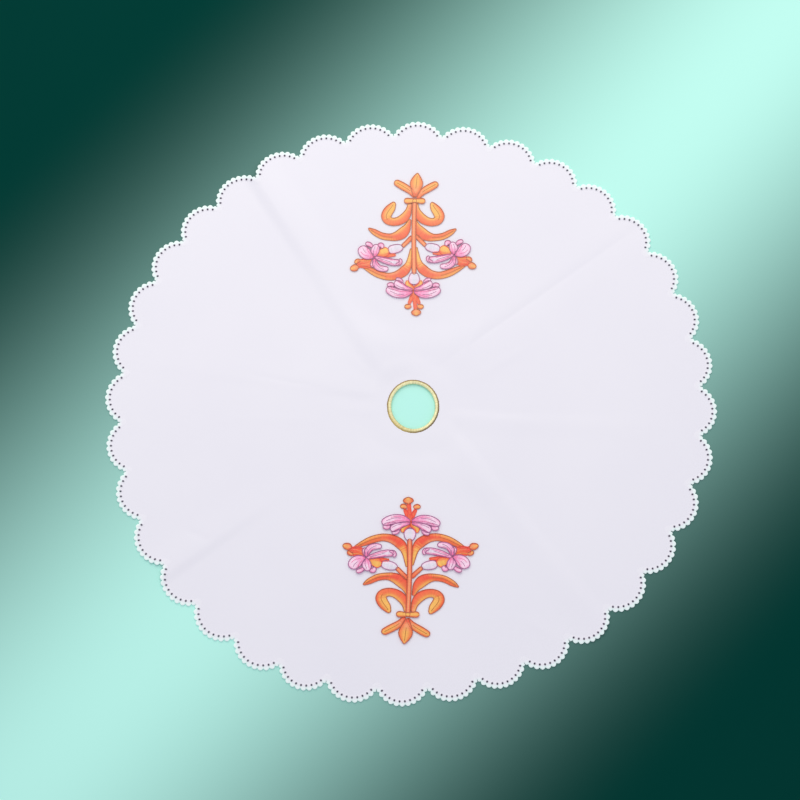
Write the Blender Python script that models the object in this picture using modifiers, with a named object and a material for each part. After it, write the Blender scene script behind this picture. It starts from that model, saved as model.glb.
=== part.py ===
"""A round veil for an altar vessel, laid out flat with its fold lines still in it.

Metres, +Z up. The origin is on the surface that the veil lies on, under its middle.
Every piece follows height(x, y), which says how far the cloth stands off that surface.
"""

import math

import bmesh
import bpy
from mathutils import Vector
from mathutils.geometry import delaunay_2d_cdt

MM = 0.001

# Driving dimensions of the cloth and its scalloped rim
VEIL_WIDTH = 550 * MM
SCALLOPS = 36
SCALLOP_DEPTH = 14.2 * MM
FIRST_NOTCH = 3.5  # degrees from +X
CLOTH_THICK = 1.0 * MM
GAP = 0.3 * MM

# The worked edging
EDGING_WIDTH = 5.4 * MM
PICOTS = 11  # loops on each scallop
PICOT_OUT = 1.1 * MM

# The hole and its bound edge; the hole is a little longer along Y than along X
HOLE_X = 2.0 * MM
HOLE_Y = -2.95 * MM
HOLE_STRETCH = 1.067
RING_OUTER = 24.2 * MM
RING_WIDTH = 4.0 * MM
RING_THICK = 0.8 * MM
RING_WALL = 1.1 * MM
RING_CROWN = 0.3 * MM
RING_ROUND = 0.25 * MM  # how far the section's corners are cut off
RING_STEPS = 52
CLOTH_HOLE = RING_OUTER - RING_WIDTH + RING_WALL + GAP
SEAT_AT_RING = RING_THICK + GAP

# The embroidery stands on the cloth
SPRAY_THICK = 0.8 * MM
SPRAY_RISE = CLOTH_THICK + GAP

# Mesh fineness
RIM_STEPS = 9  # steps along the cloth's edge in each scallop
NOTCH_STEPS = 4  # steps round each notch
HOLE_STEPS = 44
FILL_PITCH = 25 * MM
FILL_CLEAR = 9 * MM
FOLD_START = 32 * MM
FOLD_STEP = 16 * MM
CURVE_STEPS = 2  # steps from one point of an embroidered shape to the next
END_ROUND = 0.32  # how far a strip's end stands out, as a share of its width
STRAIGHT = math.radians(1)  # what turns less than this is made straight
SHARP = math.radians(40)  # edges that turn more than this are shaded sharp
SAME_PLACE = 1e-7
RING_MERGE = 1e-5

# How far the rim stands out of a true circle, by direction, and how far its notches are turned
RIM_DRIFT = (
    # degrees, out mm, turned degrees
    (0, 3.3, 0.0),
    (30, 2.6, 0.0),
    (60, -0.6, 0.0),
    (90, 0.5, 0.0),
    (120, 0.3, 0.0),
    (150, 1.5, 0.0),
    (170, 2.9, 0.2),
    (190, 3.5, 0.4),
    (210, 5.1, 0.6),
    (240, 5.2, 0.5),
    (260, 2.1, -0.2),
    (275, -0.4, -0.5),
    (290, -3.9, -0.7),
    (315, -3.1, -0.8),
    (330, -0.5, -0.4),
    (345, 2.3, -0.1),
    (360, 3.3, 0.0),
)

# Each fold is a straight line out to the rim. It points in its own direction, in degrees from +X,
# and passes the middle of the hole at a distance, to the left as it runs out. Heights are in mm at
# FOLD_NEAR, FOLD_MIDDLE and FOLD_RIM. Widths are in mm, to the left and to the right of the line,
# and change to a share of that at the rim. A bank has even flanks, a crease a sharp top.
FOLD_NEAR = 45 * MM
FOLD_MIDDLE = 120 * MM
FOLD_RIM = 255 * MM
FOLDS = (
    # profile, direction, passes mm, near mm, middle mm, rim mm, left mm, right mm, share at the rim
    ("bank", 122.9, 1.8, 2.0, 1.5, 2.9, 17, 40, 0.75),
    ("bank", -52.5, 10, 1.1, 1.0, 0.8, 11, 22, 1.2),
    ("bank", 36, 17, 0.2, 0.7, 0.4, 45, 45, 1),
    ("crease", 36, 17, -0.2, -0.6, -0.4, 9, 24, 1),
    ("bank", 172.5, -8, 0.6, 0.25, 0.1, 9, 26, 1),
    ("bank", 216, -5, 0.0, 0.0, 1.3, 10, 30, 1),
    ("bank", -3, -8, 0.55, 0.35, 0.0, 10, 18, 1),
)
# A low round swell about the hole, and where the folds die out at the bound edge
SWELL_HEIGHT = 1.2 * MM
SWELL_START = 27 * MM
SWELL_END = 125 * MM
SEAT_END = 50 * MM

# The two embroidered sprays. The heavy stitching keeps the cloth flat under them.
SPRAYS = (
    # node name, direction from the hole in degrees, distance of the collar from the hole in mm,
    # share of the drawn width, share of the drawn length
    ("upper_spray", 89.5, 198.2, 0.98, 1.01),
    ("lower_spray", 268.5, 190.9, 1.02, 0.96),
)
SPRAY_MIDDLE = 42 * MM  # from the collar towards the hole
SPRAY_FLAT_ACROSS = 64 * MM
SPRAY_FLAT_ALONG = 74 * MM
SPRAY_FLAT_FADE = 0.4

# One spray in mm, across and along its stem, from the collar. Along grows towards the flowers.
# A strip follows its route with the widths given at the route's points.
STRIPS_ALONE = (
    # name, route, widths
    ("stem", ((0, -2), (-0.6, 35), (0, 71)), (4, 4, 4.4)),
    ("collar", ((-10, 0.4), (0, -0.2), (10, 0.4)), (5.2, 4.6, 5.2)),
    ("foot leaf", ((0, -2), (0.8, -11), (1.4, -18.5), (2.3, -27)), (4.6, 9, 12.2, 1)),
    ("top cup", ((0, 68), (0, 73.5), (0.4, 88)), (5, 9.6, 10)),
    ("middle stamen", ((0.4, 87), (0.8, 96), (2, 106)), (7, 3, 3)),
    ("top anther", ((-2.2, 105.8), (2.3, 108.4), (6.8, 105.8)), (3, 6, 3)),
)
# Both halves are drawn alike. The first is moved across by aside, and so is the second, which is
# the mirror image and is moved along by lift.
STRIPS_IN_PAIRS = (
    # name, aside, lift, route, widths
    ("foot side leaf", 1.4, -1.2, ((2, -3), (6.6, -9.4), (13.2, -13.6), (20.6, -17.8)), (4, 6, 6.8, 5.6)),
    (
        "hook arm",
        -1.6,
        0,
        ((2, 1), (3.4, 8), (5.6, 13.4), (12.8, 19), (19.1, 20.9), (27, 18.4)),
        (4.4, 5.6, 8, 7.6, 6, 7),
    ),
    ("hook tip", -1.6, 0, ((26.6, 17.6), (23.6, 9.6), (17.4, 2)), (8.6, 8.6, 3)),
    (
        "leaf",
        -1.6,
        0,
        ((1.4, 18), (4.4, 25.6), (9, 31), (21.1, 35), (28.8, 34), (36.5, 30), (41.4, 26.6)),
        (2.6, 6.4, 8.6, 6.6, 6, 5, 1.2),
    ),
    ("stalk", -0.3, 1, ((2.4, 34.4), (6.6, 38.8), (11.4, 43.4)), (5, 3.8, 4)),
    ("cup", -0.3, 1.2, ((11, 44), (17.6, 45.8), (24, 47.2)), (4.4, 8.4, 6.6)),
    ("calyx", 0, 2, ((22, 48), (28, 49.6), (36, 51.4)), (8, 8.4, 4.6)),
    (
        "long leaf",
        0,
        1.5,
        ((2, 44), (3.4, 53), (5.4, 62), (12, 68.4), (25, 71.6), (37, 67.6), (48, 62)),
        (2, 4, 7, 8.6, 6.6, 6, 1.2),
    ),
    ("petal in", 0, 3, ((37, 51.8), (27, 54.8), (15, 55.4)), (3, 5, 5)),
    ("petal up", 0, 3, ((37, 52.6), (33.6, 60), (24.8, 63.2)), (4, 6, 4)),
    ("petal low", 0, 3, ((37, 52), (37, 45.4), (34.8, 39.6)), (3.4, 8.6, 5.6)),
    ("petal out", 0, 3, ((38, 51.6), (43.8, 49), (47.4, 45.4), (47.8, 40.4)), (3.4, 9, 10.6, 7)),
    ("stamens", 0, 3, ((39, 55), (46, 57.6), (53.6, 57.2)), (6, 8, 6)),
    ("anther", -0.9, 3, ((50, 59.6), (54.4, 61), (58.6, 62)), (5, 5.6, 4)),
    ("top petal", -0.7, 0, ((0.6, 87), (9, 88.4), (17.4, 87.4), (24.6, 84.6)), (4, 7.6, 8.4, 6)),
    ("top petal low", -0.7, 0, ((0.6, 86.4), (8, 84), (14, 80.4), (17.2, 77.4)), (4, 6.4, 7, 5)),
    ("side stamen", 0.2, 0, ((1, 92), (3.4, 96.6), (6.4, 100.6)), (3, 2.6, 5.4)),
)

# Colours as red, green and blue, then roughness and metallic value
FINISHES = {
    "veil_cloth": ((0.83, 0.82, 0.87), 0.85, 0.0),
    "picot_edging": ((0.88, 0.93, 0.92), 0.8, 0.0),
    "gold_ring": ((0.62, 0.47, 0.2), 0.4, 0.6),
    "upper_spray": ((0.9, 0.35, 0.12), 0.6, 0.0),
    "lower_spray": ((0.9, 0.35, 0.12), 0.6, 0.0),
}


def clear_scene():
    for obj in list(bpy.data.objects):
        bpy.data.objects.remove(obj, do_unlink=True)


def blend(share):
    """Smooth step from 0 to 1."""
    share = min(max(share, 0.0), 1.0)
    return share * share * (3 - 2 * share)


def between(stations, at):
    """The value at a place between (place, value) stations, eased from one to the next."""
    if at <= stations[0][0]:
        return stations[0][1]
    for (first, low), (second, high) in zip(stations, stations[1:]):
        if at <= second:
            return low + (high - low) * blend((at - first) / (second - first))
    return stations[-1][1]


def spray_point(spray, across, along):
    """A point of a spray's drawing, in mm, as a place on the cloth in metres."""
    _, direction, distance, wide, tall = spray
    turn = math.radians(direction)
    out = (distance - along * tall) * MM
    side = across * wide * MM
    return (
        HOLE_X + out * math.cos(turn) + side * math.sin(turn),
        HOLE_Y + out * math.sin(turn) - side * math.cos(turn),
    )


def flat_under_sprays(x, y):
    """Nought under a spray, rising to one a little way outside it."""
    share = 1.0
    for _, direction, distance, _, _ in SPRAYS:
        turn = math.radians(direction)
        out = distance * MM - SPRAY_MIDDLE
        dx = x - HOLE_X - out * math.cos(turn)
        dy = y - HOLE_Y - out * math.sin(turn)
        along = dx * math.cos(turn) + dy * math.sin(turn)
        across = dy * math.cos(turn) - dx * math.sin(turn)
        away = math.hypot(across / SPRAY_FLAT_ACROSS, along / SPRAY_FLAT_ALONG)
        share *= blend((away - 1) / SPRAY_FLAT_FADE)
    return share


def fold_height(fold, dx, dy):
    """What one fold adds at a place, given from the middle of the hole."""
    profile, direction, passes, near, middle, rim, left, right, rim_share = fold
    turn = math.radians(direction)
    out = dx * math.cos(turn) + dy * math.sin(turn)
    if out <= 0:
        return 0.0
    aside = dy * math.cos(turn) - dx * math.sin(turn) - passes * MM
    narrowing = 1 + (rim_share - 1) * blend(out / FOLD_RIM)
    share = min(abs(aside) / ((left if aside > 0 else right) * narrowing * MM), 1.0)
    shape = (1 - share) ** 2 if profile == "crease" else 1 - blend(share)
    stations = ((FOLD_NEAR, near), (FOLD_MIDDLE, middle), (FOLD_RIM, rim))
    return between(stations, out) * MM * shape


def height(x, y):
    """How far the underside of the cloth stands off the surface."""
    dx, dy = x - HOLE_X, y - HOLE_Y
    out = math.hypot(dx, dy)
    start = blend((out - SWELL_START) / (FOLD_NEAR - SWELL_START))
    share = min(max((out - SWELL_START) / (SWELL_END - SWELL_START), 0.0), 1.0)
    swell = SWELL_HEIGHT * math.sin(math.pi * share) ** 2
    folds = swell + start * sum(fold_height(fold, dx, dy) for fold in FOLDS)
    seat = SEAT_AT_RING * (1 - blend((out - SWELL_START) / (SEAT_END - SWELL_START)))
    return max(folds, 0.0) * flat_under_sprays(x, y) + seat


def rim_place(degrees):
    """A notch of the rim, from the direction in which it would lie on a true circle."""
    outs = [(at, out) for at, out, _ in RIM_DRIFT]
    turns = [(at, turned) for at, _, turned in RIM_DRIFT]
    radius = VEIL_WIDTH / 2 - SCALLOP_DEPTH + between(outs, degrees % 360) * MM
    turn = math.radians(degrees + between(turns, degrees % 360))
    return Vector((radius * math.cos(turn), radius * math.sin(turn)))


def scallop_arcs():
    """The centre and radius of each scallop's arc, from its two notches and its depth."""
    arcs = []
    step = 360 / SCALLOPS
    for k in range(SCALLOPS):
        start = rim_place(FIRST_NOTCH + k * step)
        end = rim_place(FIRST_NOTCH + (k + 1) * step)
        chord = (end - start).length
        middle = (start + end) / 2
        radius = (chord * chord / 4 + SCALLOP_DEPTH**2) / (2 * SCALLOP_DEPTH)
        arcs.append((middle - middle.normalized() * (radius - SCALLOP_DEPTH), radius))
    return arcs


def crossing(first, second, inset):
    """Where two neighbouring arcs, drawn in by inset, meet on their outer side."""
    (a, ra), (b, rb) = first, second
    ra, rb = ra - inset, rb - inset
    apart = (b - a).length
    along = (ra * ra - rb * rb + apart * apart) / (2 * apart)
    step = (b - a) / apart
    side = Vector((step.y, -step.x))
    return a + step * along + side * math.sqrt(ra * ra - along * along)


def scallop_spans():
    """Each scallop's centre, radius, first angle and turn, between its loops' roots."""
    arcs = scallop_arcs()
    spans = []
    for k, (centre, radius) in enumerate(arcs):
        start = crossing(arcs[k - 1], arcs[k], PICOT_OUT) - centre
        end = crossing(arcs[k], arcs[(k + 1) % SCALLOPS], PICOT_OUT) - centre
        first = math.atan2(start.y, start.x)
        turn = (math.atan2(end.y, end.x) - first) % math.tau
        spans.append((centre, radius, first, turn))
    return spans


def picot_line():
    """The outer edge: small loops along every scallop, as points in and out by turns."""
    points = []
    for centre, radius, first, turn in scallop_spans():
        for i in range(2 * PICOTS):
            angle = first + turn * i / (2 * PICOTS)
            reach = radius - (0 if i % 2 else PICOT_OUT)
            points.append(centre + reach * Vector((math.cos(angle), math.sin(angle))))
    return points


def inset_line(inset, steps):
    """The scalloped rim drawn in by inset, which turns about each notch in a short arc."""
    spans = scallop_spans()
    points = []
    for k, (centre, radius, first, turn) in enumerate(spans):
        for i in range(steps + 1):
            angle = first + turn * i / steps
            points.append(centre + (radius - inset) * Vector((math.cos(angle), math.sin(angle))))
        notch = centre + (radius - PICOT_OUT) * Vector((math.cos(angle), math.sin(angle)))
        bend = (spans[(k + 1) % SCALLOPS][2] - angle + math.pi) % math.tau - math.pi
        for i in range(1, NOTCH_STEPS):
            back = angle + math.pi + bend * i / NOTCH_STEPS
            away = inset - PICOT_OUT
            points.append(notch + away * Vector((math.cos(back), math.sin(back))))
    return points


def oval(radius, steps):
    """Points round the hole, radius being half its width."""
    turns = [math.tau * i / steps for i in range(steps)]
    return [
        Vector((HOLE_X + radius * math.cos(t), HOLE_Y + radius * HOLE_STRETCH * math.sin(t)))
        for t in turns
    ]


def ring_edges(start, count):
    return [(start + i, start + (i + 1) % count) for i in range(count)]


def thicken(bm, thickness):
    """Gives an open sheet its thickness, straight up, and turns all faces outwards."""
    made = bmesh.ops.extrude_face_region(bm, geom=bm.faces[:])
    raised = [g for g in made["geom"] if isinstance(g, bmesh.types.BMVert)]
    bmesh.ops.translate(bm, verts=raised, vec=(0, 0, thickness))
    bmesh.ops.recalc_face_normals(bm, faces=bm.faces[:])


def lay_on_height(bm, rise=0.0):
    for vert in bm.verts:
        vert.co.z = height(vert.co.x, vert.co.y) + rise


def finish_object(name, bm, collection):
    """Makes the object of a bmesh, with its own material."""
    mesh = bpy.data.meshes.new(name)
    bm.to_mesh(mesh)
    bm.free()
    return add_object(name, mesh, collection)


def add_object(name, mesh, collection):
    colour, roughness, metallic = FINISHES[name]
    material = bpy.data.materials.new(name)
    material.use_nodes = True
    shader = material.node_tree.nodes["Principled BSDF"]
    shader.inputs["Base Color"].default_value = (*colour, 1.0)
    shader.inputs["Roughness"].default_value = roughness
    shader.inputs["Metallic"].default_value = metallic
    mesh.materials.append(material)
    mesh.shade_smooth()
    mesh.set_sharp_from_angle(angle=SHARP)
    obj = bpy.data.objects.new(name, mesh)
    collection.objects.link(obj)
    return obj


def fold_points():
    """Points along every fold's line, halfway down its sides and at its feet."""
    points = []
    for _, direction, passes, _, _, rim, left, right, _ in FOLDS:
        turn = math.radians(direction)
        line = Vector((math.cos(turn), math.sin(turn)))
        side = Vector((-line.y, line.x))
        reach = FOLD_RIM if rim else FOLD_MIDDLE
        for i in range(int((reach - FOLD_START) / FOLD_STEP) + 1):
            on_line = Vector((HOLE_X, HOLE_Y)) + line * (FOLD_START + i * FOLD_STEP)
            for aside in (0, left / 2, left, -right / 2, -right):
                points.append(on_line + side * (passes + aside) * MM)
    return points


def fill_points():
    """An even triangular grid over the whole cloth."""
    points = []
    rows = int(VEIL_WIDTH / (FILL_PITCH * math.sin(math.pi / 3)))
    columns = int(VEIL_WIDTH / FILL_PITCH)
    for row in range(-rows // 2, rows // 2 + 1):
        for column in range(-columns // 2, columns // 2 + 1):
            x = (column + (row % 2) / 2) * FILL_PITCH
            points.append(Vector((x, row * FILL_PITCH * math.sin(math.pi / 3))))
    return points


def thin_out(points, fixed, clear):
    """The points that stay at least clear away from the fixed ones and from each other."""
    kept = list(fixed)
    for point in points:
        if all((point - other).length > clear for other in kept):
            kept.append(point)
    return kept[len(fixed) :]


def inside(point, line):
    """Whether a point is inside a closed line."""
    within = False
    for a, b in zip(line, line[1:] + line[:1]):
        if (a.y > point.y) != (b.y > point.y):
            if point.x < a.x + (b.x - a.x) * (point.y - a.y) / (b.y - a.y):
                within = not within
    return within


def build_cloth(collection):
    """The round cloth with its scallops, its hole and its folds."""
    rim = inset_line(EDGING_WIDTH + GAP, RIM_STEPS)
    hole = oval(CLOTH_HOLE, HOLE_STEPS)
    borders = rim + hole
    spread = [
        p
        for p in fold_points() + fill_points()
        if inside(p, rim) and not inside(p, hole)
    ]
    loose = thin_out(spread, borders, FILL_CLEAR)
    edges = ring_edges(0, len(rim)) + ring_edges(len(rim), len(hole))
    verts, _, faces, *_ = delaunay_2d_cdt(borders + loose, edges, [], 1, SAME_PLACE)
    bm = bmesh.new()
    corners = [bm.verts.new((v.x, v.y, 0)) for v in verts]
    for face in faces:
        middle = sum((verts[i] for i in face), Vector((0, 0))) / len(face)
        if not inside(middle, hole):
            bm.faces.new([corners[i] for i in face])
    lay_on_height(bm)
    thicken(bm, CLOTH_THICK)
    return finish_object("veil_cloth", bm, collection)


def build_edging(collection):
    """The worked edging: a narrow band along the scallops with small loops outside."""
    bm = bmesh.new()
    lines = []
    for points in (picot_line(), inset_line(EDGING_WIDTH, RIM_STEPS)):
        corners = [bm.verts.new((p.x, p.y, 0)) for p in points]
        lines += [bm.edges.new((corners[a], corners[b])) for a, b in ring_edges(0, len(points))]
    bmesh.ops.triangle_fill(bm, use_beauty=True, use_dissolve=False, edges=lines)
    lay_on_height(bm)
    thicken(bm, CLOTH_THICK)
    return finish_object("picot_edging", bm, collection)


def build_ring(collection):
    """The gold binding: a section that wraps the cloth's edge, turned round the hole."""
    outer, inner = RING_OUTER, RING_OUTER - RING_WIDTH
    slot_end = inner + RING_WALL
    low, high = RING_THICK, RING_THICK + 2 * GAP + CLOTH_THICK
    top = high + RING_THICK
    section = (
        (outer - RING_ROUND, top),
        (outer, top - RING_ROUND),
        (outer, high),
        (slot_end, high),
        (slot_end, low),
        (outer, low),
        (outer, RING_ROUND),
        (outer - RING_ROUND, 0),
        (inner + RING_ROUND, 0),
        (inner, 2 * RING_ROUND),
        (inner, top - RING_ROUND),
        (inner + RING_WIDTH / 3, top + RING_CROWN),
    )
    bm = bmesh.new()
    corners = [bm.verts.new((x, 0, z)) for x, z in section]
    for a, b in ring_edges(0, len(section)):
        bm.edges.new((corners[a], corners[b]))
    ring = finish_object("gold_ring", bm, collection)
    turn = ring.modifiers.new("turn", "SCREW")
    turn.angle = math.tau
    turn.steps = turn.render_steps = RING_STEPS
    turn.use_merge_vertices = True
    turn.merge_threshold = RING_MERGE
    ring.location = (HOLE_X, HOLE_Y, 0)
    ring.scale = (1, HOLE_STRETCH, 1)
    return ring


def smooth_route(values, steps):
    """Values of a smooth curve through the given ones, as tuples of numbers."""
    found = []
    for i in range(len(values) - 1):
        a = values[max(i - 1, 0)]
        b, c = values[i], values[i + 1]
        d = values[min(i + 2, len(values) - 1)]
        for k in range(steps):
            t = k / steps
            found.append(
                tuple(
                    q + t * (r - p) / 2
                    + t * t * (p - 2.5 * q + 2 * r - s / 2)
                    + t**3 * (1.5 * (q - r) + (s - p) / 2)
                    for p, q, r, s in zip(a, b, c, d)
                )
            )
    return found + [tuple(float(v) for v in values[-1])]


def strip_outline(route, widths, steps):
    """The outline of a strip, with blunt round ends: out on its left and back on its right."""
    stations = smooth_route([(*p, w) for p, w in zip(route, widths)], steps)
    left, right = [], []
    for i, (x, y, width) in enumerate(stations):
        before, after = stations[max(i - 1, 0)], stations[min(i + 1, len(stations) - 1)]
        along = Vector((after[0] - before[0], after[1] - before[1])).normalized()
        side = Vector((-along.y, along.x)) * width / 2
        left.append(Vector((x, y)) + side)
        right.append(Vector((x, y)) - side)
        if i == 0:
            start = Vector((x, y)) - along * width * END_ROUND
    end = Vector((x, y)) + along * width * END_ROUND
    return [start] + left + [end] + right[::-1]


def spray_strips():
    """Every strip of a spray as (route, widths), the mirrored ones too."""
    strips = [(route, widths) for _, route, widths in STRIPS_ALONE]
    for _, aside, lift, route, widths in STRIPS_IN_PAIRS:
        strips.append((tuple((aside + x, y) for x, y in route), widths))
        strips.append((tuple((aside - x, y + lift) for x, y in route), widths))
    return strips


def build_spray(spray, collection):
    """One embroidered spray: its strips joined into one flat piece on the cloth."""
    points, loops = [], []
    for route, widths in spray_strips():
        outline = strip_outline(route, widths, CURVE_STEPS)
        loops.append(list(range(len(points), len(points) + len(outline))))
        points += [Vector(spray_point(spray, p.x, p.y)) for p in outline]
    verts, _, faces, _, _, origins = delaunay_2d_cdt(points, [], loops, 1, SAME_PLACE)
    bm = bmesh.new()
    corners = [bm.verts.new((v.x, v.y, 0)) for v in verts]
    for face, origin in zip(faces, origins):
        if origin:
            bm.faces.new([corners[i] for i in face])
    loose = [v for v in bm.verts if not v.link_faces]
    bmesh.ops.delete(bm, geom=loose, context="VERTS")
    bmesh.ops.dissolve_limit(bm, angle_limit=STRAIGHT, verts=bm.verts[:], edges=bm.edges[:])
    lay_on_height(bm, SPRAY_RISE)
    thicken(bm, SPRAY_THICK)
    bmesh.ops.triangulate(bm, faces=bm.faces[:])
    return finish_object(spray[0], bm, collection)


def main():
    clear_scene()
    collection = bpy.data.collections.new("round veil")
    bpy.context.scene.collection.children.link(collection)
    build_cloth(collection)
    build_edging(collection)
    build_ring(collection)
    for spray in SPRAYS:
        build_spray(spray, collection)


main()
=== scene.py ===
"""The looks of a round veil for an altar vessel, laid out flat with its fold lines still in it.

Everything is in metres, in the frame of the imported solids. The cloth, the worked edging, the
gold binding and the two embroidered sprays each replace their own solid, on the same folds.
"""

import random
from itertools import compress
from math import atan2, copysign, cos, exp, hypot, pi, radians, sin, sqrt, tau

import bpy
import numpy as np
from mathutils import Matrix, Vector
from mathutils.geometry import delaunay_2d_cdt
from mathutils.kdtree import KDTree


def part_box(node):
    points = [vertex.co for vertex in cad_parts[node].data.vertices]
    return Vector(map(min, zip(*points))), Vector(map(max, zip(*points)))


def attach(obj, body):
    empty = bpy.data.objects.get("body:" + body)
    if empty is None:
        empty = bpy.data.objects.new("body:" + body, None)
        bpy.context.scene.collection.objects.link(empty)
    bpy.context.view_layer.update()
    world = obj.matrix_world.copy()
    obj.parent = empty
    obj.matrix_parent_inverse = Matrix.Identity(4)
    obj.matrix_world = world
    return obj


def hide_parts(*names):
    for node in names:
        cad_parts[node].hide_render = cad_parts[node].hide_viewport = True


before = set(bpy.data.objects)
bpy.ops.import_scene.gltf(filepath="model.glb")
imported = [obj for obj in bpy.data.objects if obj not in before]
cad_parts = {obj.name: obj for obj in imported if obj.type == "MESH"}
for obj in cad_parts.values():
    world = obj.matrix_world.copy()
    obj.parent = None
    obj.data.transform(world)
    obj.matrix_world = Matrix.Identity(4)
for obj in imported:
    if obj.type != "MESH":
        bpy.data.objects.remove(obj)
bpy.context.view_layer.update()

MM = 0.001
SEED = 4

# The cloth and its scalloped rim, as in the solids
VEIL_WIDTH = 550 * MM
SCALLOPS = 36
SCALLOP_DEPTH = 14.2 * MM
FIRST_NOTCH = 3.5  # degrees from +X
CLOTH_TOP = 1.0 * MM  # above height(x, y)
CLOTH_THICK = 0.8 * MM
CLOTH_PITCH = 3.0 * MM
CLOTH_GAP = 0.6  # in pitches, from those points to the grid's
CLOTH_TONES = ((0.812, 0.802, 0.874, 1), (0.828, 0.818, 0.884, 1))
HOLE_STEPS = 100
GRID_MARGIN = 6 * MM  # more than the rim drifts outwards
FOLD_ASIDES = (0, 1.4, -1.4, 3.2, -3.2)  # mm, rows of points along each fold
FOLD_GAP = 1 * MM  # the least distance between such points
RIM_DRIFT = (
    # degrees, how far the rim stands out of a true circle in mm, how far its notches are turned
    (0, 3.3, 0.0),
    (30, 2.6, 0.0),
    (60, -0.6, 0.0),
    (90, 0.5, 0.0),
    (120, 0.3, 0.0),
    (150, 1.5, 0.0),
    (170, 2.9, 0.2),
    (190, 3.5, 0.4),
    (210, 5.1, 0.6),
    (240, 5.2, 0.5),
    (260, 2.1, -0.2),
    (275, -0.4, -0.5),
    (290, -3.9, -0.7),
    (315, -3.1, -0.8),
    (330, -0.5, -0.4),
    (345, 2.3, -0.1),
    (360, 3.3, 0.0),
)

# The worked edging: loops outside, a row of pinholes between them
EDGING_WIDTH = 6.4 * MM
PICOTS = 11
PICOT_OUT = 1.1 * MM  # where the loops' roots are
PICOT_REACH = 1.85 * MM
PICOT_STEPS = 8
PICOT_POWER = 0.85  # under 1 makes the loops blunt
PICOT_FADE = 0.85  # in loops, how far from a notch they are whole
PINHOLE_INSET = 3.6 * MM
PINHOLE_ACROSS = 0.75 * MM
PINHOLE_ALONG = 0.92 * MM  # half its size across the edge
PINHOLE_STEPS = 10
IN_HOLE = 0.93  # as shares of a pinhole's size: nearer is inside it
ON_HOLE = 1.05  # nearer is on its edge
EDGING_PITCH = 0.8 * MM
EDGING_RIM_STEPS = 26
NOTCH_STEPS = 8
EDGING_OVERLAP = 1.6 * MM  # onto the cloth
EDGING_RISE = 0.14 * MM
EDGING_THICK = 1.1 * MM
EDGING_FADE = 3.2 * MM  # over which it dies out into the cloth
ROLL_HEIGHT = 0.28 * MM  # the thread roll round each pinhole
ROLL_RADIUS = 1.35 * MM
ROLL_WIDTH = 0.5 * MM
ROLL_GAP = 0.3 * MM
EDGE_DROP = 0.35 * MM  # how far the loops' outer edge turns down, and from where
EDGE_ROUND = 0.7 * MM
HEM_DROP = 1.4  # how far the inner edge sinks, as a share of the edging's rise
MINT_START = 1.1 * MM  # how far in from the edge the loops' cool tone starts to fade
MINT_WIDTH = 2.0 * MM
NOTCH_FILL = 1.8 * MM  # how far out of a notch the edging is whole
NOTCH_FADE = 4.5 * MM  # how far from a notch that tone is whole
WHITE = (0.84, 0.832, 0.895)
MINT_WHITE = (0.845, 0.975, 0.955)
CLOTH_TONE = (0.82, 0.81, 0.88)
# Painted shade: the pinholes' rims and walls are coloured dark, for the shade inside them
PAINTED_HOLE_RIM_SHADE = (0.36, 0.31, 0.4)
PAINTED_HOLE_SHADE = (0.035, 0.022, 0.04)
HOLE_TAPER = 0.5  # how wide a pinhole is at its bottom, as a share of its top

# The hole and its gold binding
(ring_low, ring_high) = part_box("gold_ring")
HOLE_X = (ring_low[0] + ring_high[0]) / 2
HOLE_Y = (ring_low[1] + ring_high[1]) / 2
RING_OUTER = (ring_high[0] - ring_low[0]) / 2
HOLE_STRETCH = (ring_high[1] - ring_low[1]) / (ring_high[0] - ring_low[0])
RING_WIDTH = 4.3 * MM
RING_HEIGHT = 2.6 * MM
RING_SIDES = 16
RING_BOTTOM = 0.02 * MM
WIDE_SIDE = radians(232)  # where the binding is widest, and by how much
WIDE_MORE = 0.5 * MM
DARK_SIDE = radians(-40)  # where its outer side is darkest
RING_STITCHES = 264
STITCH_STEPS = 4
STITCH_TONES = (0.86, 1.12)
STITCH_REACHES = (-0.22, 0.16)  # mm past the binding's outer edge
STITCH_SWELL = 0.09 * MM
PAINTED_GROOVE_SHADE = 0.2  # painted shade: how much darker the colour is made between two stitches
RING_POWER = 0.8  # under 1 makes its section squarer
RING_SLOPE = 0.18  # how much lower its outer side is, as a share
RING_LEAN = 0.2 * MM
PALE_SHARE = 0.46  # the pale inner share of its width, and how it fades
PALE_FADE = 0.18
WIDE_DULL = 0.5
DARK_MORE = 0.35
CLOTH_HOLE = RING_OUTER - 2.6 * MM
SEAT_AT_RING = 1.1 * MM

# Folds, as in the solids: straight lines out from the hole, and a low swell about it
FOLD_NEAR = 45 * MM
FOLD_MIDDLE = 120 * MM
FOLD_RIM = 255 * MM
FOLDS = (
    # profile, direction, passes mm, near mm, middle mm, rim mm, left mm, right mm, share at the rim
    ("bank", 122.9, 1.8, 2.0, 1.5, 2.9, 17, 40, 0.75),
    ("bank", -52.5, 10, 1.1, 1.0, 0.8, 11, 22, 1.2),
    ("bank", 36, 17, 0.2, 0.7, 0.4, 45, 45, 1),
    ("crease", 36, 17, -0.2, -0.6, -0.4, 9, 24, 1),
    ("bank", 172.5, -8, 0.6, 0.25, 0.1, 9, 26, 1),
    ("bank", 216, -5, 0.0, 0.0, 1.3, 10, 30, 1),
    ("bank", -3, -8, 0.55, 0.35, 0.0, 10, 18, 1),
)
SWELL_HEIGHT = 1.2 * MM
SWELL_START = 27 * MM
SWELL_END = 125 * MM
SEAT_END = 50 * MM

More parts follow.
